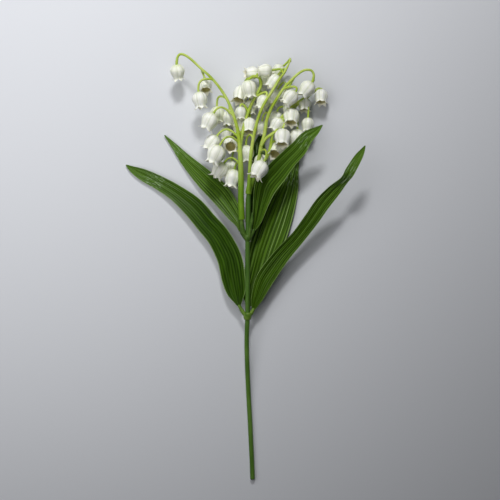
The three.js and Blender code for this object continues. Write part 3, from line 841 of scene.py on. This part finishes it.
def leaf_finish():
    """Glossy moulded green: fine long streaks and a paler underside. Painted shade darkens the grooves
    between its ribs; painted highlights run along some of its ribs and its rim, and a painted
    highlight pales the face towards the tip, whiter in patches."""
    f = Finish("leaf_green", {"Specular IOR Level": 0.25})
    across, along, share = f.attribute("across"), f.attribute("along"), f.attribute("share")
    ridge_highlight, light, seed = f.attribute("ridge_highlight"), f.attribute("light"), f.attribute("seed")
    fine = f.vector(f.math("MULTIPLY", across, 16.0), f.math("MULTIPLY", along, 0.02), seed)
    broad = f.vector(f.math("MULTIPLY", across, 3.0), f.math("MULTIPLY", along, 0.03), seed)
    middling = f.vector(f.math("MULTIPLY", across, 7.0), f.math("MULTIPLY", along, 0.012), seed)
    spots = f.vector(f.math("MULTIPLY", across, 4.0), f.math("MULTIPLY", along, 0.12), seed)
    ribs = f.math("COSINE", f.math("MULTIPLY", across, RIBS * np.pi))
    streak = f.between(f.noise(fine, 1.3), 0.36, 0.64)
    band = f.between(f.noise(broad, 1.3), 0.36, 0.64)
    green = f.mix(band, colour(24, 50, 0), colour(52, 86, 4))
    green = f.mix(f.math("MULTIPLY", streak, light), green, colour(86, 122, 26))
    # Painted highlight: the face pales towards the tip, as where it turns to the light.
    tip_highlight = f.math("MULTIPLY", f.between(share, 0.5, 0.95, 0.0, 0.6), f.attribute("tip_highlight"))
    green = f.mix(tip_highlight, green, colour(102, 142, 42))
    # Painted shade: the grooves between the ribs are darkened, more in some places than in others.
    groove_shade = f.between(f.noise(fine, 0.6), 0.4, 0.62, 0.75, 0.3)
    green = f.mix(f.math("MULTIPLY", f.between(ribs, 0.0, 0.8), groove_shade), green, colour(12, 32, 0))
    # Painted highlights: pale lines along some of the ridges of the ribs.
    shine = f.math("MULTIPLY", f.between(f.noise(middling, 1.3, 2.0), 0.5, 0.64), ridge_highlight)
    green = f.mix(f.math("MULTIPLY", f.between(ribs, -0.6, -1.0), shine), green, colour(152, 180, 108))
    # Painted highlight: whiter patches on the face near the tip.
    near_tip = f.math("MULTIPLY", f.between(share, 0.74, 0.8), f.between(share, 0.93, 0.86))
    patch = f.between(f.noise(spots, 1.6), 0.53, 0.66, 0.0, 0.45)
    green = f.mix(f.math("MULTIPLY", near_tip, patch), green, colour(184, 206, 168))
    # Painted highlight: a pale line along the rim.
    rim = f.between(f.math("ABSOLUTE", across), 0.91, 0.975, 0.0, 0.8)
    green = f.mix(rim, green, colour(136, 166, 92))
    under = f.between(f.attribute("face"), 0.2, -0.2, 0.0, 0.4)
    green = f.mix(under, green, colour(86, 124, 52))
    f.put(f.shader.inputs["Base Color"], green)
    f.put(f.shader.inputs["Roughness"], f.between(streak, 0.0, 1.0, 0.42, 0.28))
    f.bump(f.noise(fine, 1.4, 2.0), 0.0003)
    return f.material


def stem_finish():
    """The stem's coating: a soft mid green with faint bands, lighter below the lower collar, and fine
    lengthwise scratches."""
    f = Finish("stem_green", {"Roughness": 0.48})
    bands = f.between(f.noise(f.place((1, 0.25, 1)), 160.0), 0.3, 0.7)
    upper = f.mix(bands, colour(54, 90, 22), colour(80, 116, 42))
    lower = f.mix(bands, colour(62, 98, 26), colour(92, 128, 48))
    green = f.mix(f.between(f.up_the_stem(), 0.11, 0.13), lower, upper)
    f.put(f.shader.inputs["Base Color"], green)
    f.bump(f.noise(f.place((1, 0.12, 1)), 900.0), 0.0002)
    return f.material


def collar_finish():
    """Moulded green, paler in patches; the lower collar is the yellower one."""
    f = Finish("collar_green", {"Roughness": 0.42})
    patches = f.between(f.noise(f.place(), 260.0), 0.35, 0.65)
    lower = f.mix(patches, colour(74, 110, 26), colour(108, 138, 50))
    upper = f.mix(patches, colour(54, 86, 22), colour(84, 114, 42))
    f.put(f.shader.inputs["Base Color"], f.mix(f.between(f.up_the_stem(), 0.16, 0.18), lower, upper))
    f.bump(f.noise(f.place(), 1400.0, 2.0), 0.0001)
    return f.material


def spray_stem_finish():
    """Moulded yellow-green that lets a little light through, greener and darker towards the foot."""
    f = Finish("spray_green", {"Roughness": 0.45, "Subsurface Weight": 0.12, "Subsurface Scale": 0.002})
    f.shader.inputs["Specular IOR Level"].default_value = 0.3
    patches = f.between(f.noise(f.place((1, 0.4, 1)), 120.0), 0.35, 0.65)
    foot = f.mix(patches, colour(94, 134, 20), colour(118, 152, 42))
    top = f.mix(patches, colour(156, 180, 56), colour(190, 208, 106))
    green = f.mix(f.between(f.up_the_stem(), 0.24, 0.275), foot, top)
    f.put(f.shader.inputs["Base Color"], green)
    f.bump(f.noise(f.place((1, 0.3, 1)), 900.0), 0.00015)
    return f.material


def bell_finish():
    """Soft white plastic, greener at the crown, with an olive depth inside. Painted shade greys its seams
    and fine lengthwise crease lines.
    """
    f = Finish("bell_white", {"Roughness": 0.4, "Subsurface Weight": 0.35, "Subsurface Scale": 0.003})
    f.shader.inputs["Subsurface Radius"].default_value = (1.0, 0.95, 0.7)
    depth, seam, inside, tone = (f.attribute(key) for key in ("depth", "seam", "inside", "tone"))
    streak = f.attribute("streak")
    white = f.mix(tone, colour(255, 255, 243), colour(250, 252, 228))
    crown = f.between(depth, 0.2, 0.0, 0.0, 0.75)
    white = f.mix(crown, white, colour(206, 218, 150))
    # Painted shade in the seams between the lobes.
    white = f.mix(f.between(seam, 0.2, 0.9, 0.0, 0.45), white, colour(178, 190, 146))
    # Painted shade along fine lengthwise crease lines.
    white = f.mix(f.between(streak, 0.6, 0.95, 0.0, 0.3), white, colour(196, 206, 168))
    mottle = f.between(f.noise(f.place(), 330.0), 0.4, 0.65, 0.0, 0.15)
    white = f.mix(mottle, white, colour(226, 230, 206))
    deep = f.mix(f.between(depth, 1.05, 0.8), colour(248, 244, 224), colour(232, 224, 168))
    f.put(f.shader.inputs["Base Color"], f.mix(inside, white, deep))
    f.bump(f.noise(f.place(), 1500.0), 0.00012)
    return f.material


def floor_finish():
    """A plain pale surface."""
    plain = {"Base Color": colour(212, 214, 219), "Roughness": 0.9, "Specular IOR Level": 0.2}
    return Finish("pale_surface", plain).material


def add_floor():
    """One wide square at the surface's height."""
    mesh = bpy.data.meshes.new("floor")
    reach = FLOOR_REACH * MM
    corners = [(-reach, -reach, 0), (reach, -reach, 0), (reach, reach, 0), (-reach, reach, 0)]
    mesh.from_pydata(corners, [], [(0, 1, 2, 3)])
    mesh.materials.append(floor_finish())
    floor = bpy.data.objects.new("floor", mesh)
    bpy.context.scene.collection.objects.link(floor)


def add_camera():
    """A camera straight over the stem. Its lens takes in VIEW_WIDTH at the surface."""
    lens = bpy.data.cameras.new("camera")
    lens.sensor_width = SENSOR
    lens.lens = SENSOR * CAMERA_AT[2] / VIEW_WIDTH
    camera = bpy.data.objects.new("camera", lens)
    camera.location = [value * MM for value in CAMERA_AT]
    bpy.context.scene.collection.objects.link(camera)
    bpy.context.scene.camera = camera


def add_light(name, energy, size, place):
    """A square soft light at a place in metres, facing straight down."""
    lamp = bpy.data.lights.new(name, "AREA")
    lamp.energy = energy
    lamp.size = size
    light = bpy.data.objects.new(name, lamp)
    light.location = place
    light.visible_camera = False
    bpy.context.scene.collection.objects.link(light)
    return light


def add_world(strength):
    """Even pale light from all round."""
    world = bpy.data.worlds.new("room")
    world.use_nodes = True
    background = world.node_tree.nodes["Background"]
    background.inputs["Color"].default_value = colour(224, 232, 240)
    background.inputs["Strength"].default_value = strength
    bpy.context.scene.world = world


add_camera()
add_floor()
add_world(strength=0.015)
add_light("window", energy=6.4, size=0.17, place=(-0.015, 0.93, 0.71))
ceiling = add_light("ceiling", energy=2.5, size=0.7, place=(-0.33, 0.36, 0.44))
ceiling.visible_glossy = False
bpy.context.scene.view_settings.view_transform = "Standard"

chance = np.random.default_rng(seed=11)
leaf_green = leaf_finish()
collar_green = collar_finish()
show("coated_stem", stem_shells().mesh("coated_stem"), stem_finish(), "stem")
collar("ring_lower", "collar_lower", LOWER_RING, LOWER_ARMS.values(), collar_green)
collar("ring_upper", "collar_upper", UPPER_RING, [*UPPER_ARMS.values(), *PEGS.values()], collar_green)
for i, (name, rows) in enumerate(LEAVES.items()):
    blade = name.replace("leaf", "blade")
    mesh = blade_shells(rows, *LEAF_LOOKS[name], i * LEAF_SEED_STEP).mesh(blade)
    show(blade, mesh, leaf_green, name)
bell_white = bell_finish()
spray_green = spray_stem_finish()
for name, spray in SPRAYS.items():
    stems, bells = spray_shells(spray, DEEP_BELLS[name], chance)
    side = name.replace("spray_", "")
    show("stems_" + side, stems.mesh("stems_" + side), spray_green, name)
    show("bells_" + side, bells.mesh("bells_" + side), bell_white, name)
